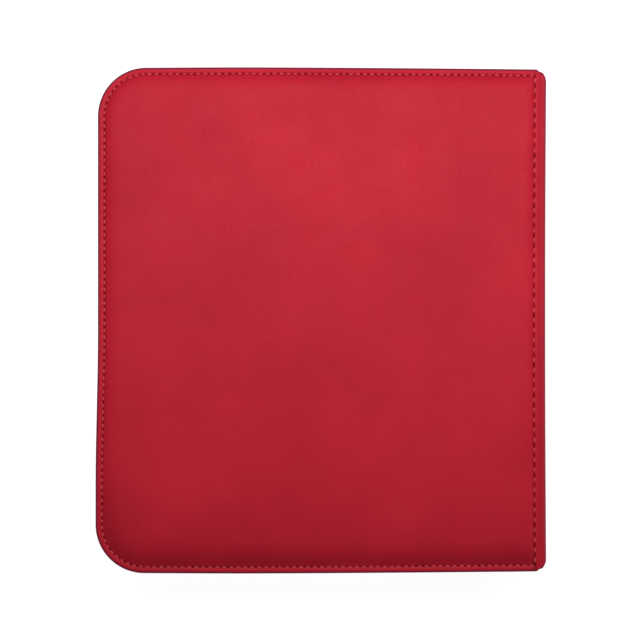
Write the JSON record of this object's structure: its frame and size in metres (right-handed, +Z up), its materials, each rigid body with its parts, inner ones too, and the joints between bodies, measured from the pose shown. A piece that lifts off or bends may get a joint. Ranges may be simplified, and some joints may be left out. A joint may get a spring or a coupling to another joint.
{
  "type": "zip-up trading card binder",
  "caption": "Padded leatherette card binder that zips shut round three sides, with sewn-in side-loading pocket pages on a flat spine that opens out flat.",
  "frame": {"origin": "middle of the closed binder in plan, on the surface that its front cover lies on", "axes": "+Z up, out of the back cover; +Y towards the head of the pages, along the spine; +X towards the spine"},
  "size_m": [0.214, 0.241, 0.038],
  "materials": {
    "red_leatherette": "satin, fine pebble grain",
    "red_thread": "twisted polyester thread",
    "foam": "soft open-cell foam",
    "greyboard": "dense grey pulp board",
    "black_lining": "matte woven cloth",
    "black_tape": "herringbone woven tape",
    "black_coil": "moulded nylon coil",
    "zipper_metal": "black lacquer, semi-gloss",
    "binding_webbing": "stiff woven webbing",
    "page_plastic": "black backing sheet with clear film pockets"
  },
  "bodies": {
    "front_cover": {"front_cover_skin": "red_leatherette", "front_cover_foam": "foam", "front_cover_board": "greyboard", "front_cover_lining": "black_lining", "front_cover_stitching": "red_thread", "front_hinge_skin": "red_leatherette", "front_hinge_lining": "black_lining", "front_zipper_tape": "black_tape", "front_zipper_coil": "black_coil", "zipper_stops": "zipper_metal"},
    "spine": {"spine_skin": "red_leatherette", "spine_board": "greyboard", "spine_lining": "black_lining", "binding_strip": "binding_webbing", "page_hinges": "page_plastic", "head_gusset": "black_tape", "tail_gusset": "black_tape"},
    "back_cover": {"back_cover_skin": "red_leatherette", "back_cover_foam": "foam", "back_cover_board": "greyboard", "back_cover_lining": "black_lining", "back_cover_stitching": "red_thread", "back_hinge_skin": "red_leatherette", "back_hinge_lining": "black_lining", "back_zipper_tape": "black_tape", "back_zipper_coil": "black_coil", "back_tape_ends": "black_tape", "back_coil_ends": "black_coil"},
    "zipper_slider": {"zipper_slider": "zipper_metal"},
    "zipper_pull": {"zipper_pull": "zipper_metal"},
    "page_01": {"page_01": "page_plastic"},
    "page_02": {"page_02": "page_plastic"},
    "page_03": {"page_03": "page_plastic"},
    "page_04": {"page_04": "page_plastic"},
    "page_05": {"page_05": "page_plastic"},
    "page_06": {"page_06": "page_plastic"},
    "page_07": {"page_07": "page_plastic"},
    "page_08": {"page_08": "page_plastic"},
    "page_09": {"page_09": "page_plastic"},
    "page_10": {"page_10": "page_plastic"},
    "page_11": {"page_11": "page_plastic"},
    "page_12": {"page_12": "page_plastic"},
    "page_13": {"page_13": "page_plastic"},
    "page_14": {"page_14": "page_plastic"},
    "page_15": {"page_15": "page_plastic"},
    "page_16": {"page_16": "page_plastic"},
    "page_17": {"page_17": "page_plastic"},
    "page_18": {"page_18": "page_plastic"},
    "page_19": {"page_19": "page_plastic"},
    "page_20": {"page_20": "page_plastic"}
  },
  "joints": [
    {"name": "spine_hinge", "type": "hinge", "parent": "front_cover", "child": "spine", "pos_m": [0.10593, 0, 0.00367], "axis": [0, 1, 0], "range_deg": [0, 90], "deforming": ["front_hinge_skin", "front_hinge_lining"]},
    {"name": "back_cover_hinge", "type": "hinge", "parent": "spine", "child": "back_cover", "pos_m": [0.10593, 0, 0.03433], "axis": [0, 1, 0], "range_deg": [0, 90], "deforming": ["back_hinge_skin", "back_hinge_lining", "back_tape_ends", "back_coil_ends", "head_gusset", "tail_gusset"]},
    {"name": "slider_slide", "type": "slide", "parent": "front_cover", "child": "zipper_slider", "axis": [-1, 0, 0], "range_m": [0, 0.165]},
    {"name": "pull_flip", "type": "hinge", "parent": "zipper_slider", "child": "zipper_pull", "pos_m": [0.0924, -0.11885, 0.019], "axis": [0, 0, 1], "range_deg": [0, 180]},
    {"name": "page_01_turn", "type": "hinge", "parent": "spine", "child": "page_01", "pos_m": [0.0999, 0, 0.0076], "axis": [0, 1, 0], "range_deg": [-90, 0], "deforming": ["page_hinges"]},
    {"name": "page_02_turn", "type": "hinge", "parent": "spine", "child": "page_02", "pos_m": [0.0999, 0, 0.0088], "axis": [0, 1, 0], "range_deg": [-80.53, 0]},
    {"name": "page_03_turn", "type": "hinge", "parent": "spine", "child": "page_03", "pos_m": [0.0999, 0, 0.01], "axis": [0, 1, 0], "range_deg": [-71.05, 0]},
    {"name": "page_04_turn", "type": "hinge", "parent": "spine", "child": "page_04", "pos_m": [0.0999, 0, 0.0112], "axis": [0, 1, 0], "range_deg": [-61.58, 0]},
    {"name": "page_05_turn", "type": "hinge", "parent": "spine", "child": "page_05", "pos_m": [0.0999, 0, 0.0124], "axis": [0, 1, 0], "range_deg": [-52.11, 0]},
    {"name": "page_06_turn", "type": "hinge", "parent": "spine", "child": "page_06", "pos_m": [0.0999, 0, 0.0136], "axis": [0, 1, 0], "range_deg": [-42.63, 0]},
    {"name": "page_07_turn", "type": "hinge", "parent": "spine", "child": "page_07", "pos_m": [0.0999, 0, 0.0148], "axis": [0, 1, 0], "range_deg": [-33.16, 0]},
    {"name": "page_08_turn", "type": "hinge", "parent": "spine", "child": "page_08", "pos_m": [0.0999, 0, 0.016], "axis": [0, 1, 0], "range_deg": [-23.69, 0]},
    {"name": "page_09_turn", "type": "hinge", "parent": "spine", "child": "page_09", "pos_m": [0.0999, 0, 0.0172], "axis": [0, 1, 0], "range_deg": [-14.21, 0]},
    {"name": "page_10_turn", "type": "hinge", "parent": "spine", "child": "page_10", "pos_m": [0.0999, 0, 0.0184], "axis": [0, 1, 0], "range_deg": [-4.74, 0]},
    {"name": "page_11_turn", "type": "hinge", "parent": "spine", "child": "page_11", "pos_m": [0.0999, 0, 0.0196], "axis": [0, 1, 0], "range_deg": [0, 4.74]},
    {"name": "page_12_turn", "type": "hinge", "parent": "spine", "child": "page_12", "pos_m": [0.0999, 0, 0.0208], "axis": [0, 1, 0], "range_deg": [0, 14.21]},
    {"name": "page_13_turn", "type": "hinge", "parent": "spine", "child": "page_13", "pos_m": [0.0999, 0, 0.022], "axis": [0, 1, 0], "range_deg": [0, 23.69]},
    {"name": "page_14_turn", "type": "hinge", "parent": "spine", "child": "page_14", "pos_m": [0.0999, 0, 0.0232], "axis": [0, 1, 0], "range_deg": [0, 33.16]},
    {"name": "page_15_turn", "type": "hinge", "parent": "spine", "child": "page_15", "pos_m": [0.0999, 0, 0.0244], "axis": [0, 1, 0], "range_deg": [0, 42.63]},
    {"name": "page_16_turn", "type": "hinge", "parent": "spine", "child": "page_16", "pos_m": [0.0999, 0, 0.0256], "axis": [0, 1, 0], "range_deg": [0, 52.11]},
    {"name": "page_17_turn", "type": "hinge", "parent": "spine", "child": "page_17", "pos_m": [0.0999, 0, 0.0268], "axis": [0, 1, 0], "range_deg": [0, 61.58]},
    {"name": "page_18_turn", "type": "hinge", "parent": "spine", "child": "page_18", "pos_m": [0.0999, 0, 0.028], "axis": [0, 1, 0], "range_deg": [0, 71.05]},
    {"name": "page_19_turn", "type": "hinge", "parent": "spine", "child": "page_19", "pos_m": [0.0999, 0, 0.0292], "axis": [0, 1, 0], "range_deg": [0, 80.53]},
    {"name": "page_20_turn", "type": "hinge", "parent": "spine", "child": "page_20", "pos_m": [0.0999, 0, 0.0304], "axis": [0, 1, 0], "range_deg": [0, 90]}
  ],
  "couplings": [
    {"joint": "page_01_turn", "follows": "spine_hinge", "ratio": -1},
    {"joint": "page_02_turn", "follows": "spine_hinge", "ratio": -0.89474},
    {"joint": "page_03_turn", "follows": "spine_hinge", "ratio": -0.78947},
    {"joint": "page_04_turn", "follows": "spine_hinge", "ratio": -0.68421},
    {"joint": "page_05_turn", "follows": "spine_hinge", "ratio": -0.57895},
    {"joint": "page_06_turn", "follows": "spine_hinge", "ratio": -0.47368},
    {"joint": "page_07_turn", "follows": "spine_hinge", "ratio": -0.36842},
    {"joint": "page_08_turn", "follows": "spine_hinge", "ratio": -0.26316},
    {"joint": "page_09_turn", "follows": "spine_hinge", "ratio": -0.1579},
    {"joint": "page_10_turn", "follows": "spine_hinge", "ratio": -0.052632},
    {"joint": "page_11_turn", "follows": "back_cover_hinge", "ratio": 0.052632},
    {"joint": "page_12_turn", "follows": "back_cover_hinge", "ratio": 0.1579},
    {"joint": "page_13_turn", "follows": "back_cover_hinge", "ratio": 0.26316},
    {"joint": "page_14_turn", "follows": "back_cover_hinge", "ratio": 0.36842},
    {"joint": "page_15_turn", "follows": "back_cover_hinge", "ratio": 0.47368},
    {"joint": "page_16_turn", "follows": "back_cover_hinge", "ratio": 0.57895},
    {"joint": "page_17_turn", "follows": "back_cover_hinge", "ratio": 0.68421},
    {"joint": "page_18_turn", "follows": "back_cover_hinge", "ratio": 0.78947},
    {"joint": "page_19_turn", "follows": "back_cover_hinge", "ratio": 0.89474},
    {"joint": "page_20_turn", "follows": "back_cover_hinge", "ratio": 1}
  ]
}
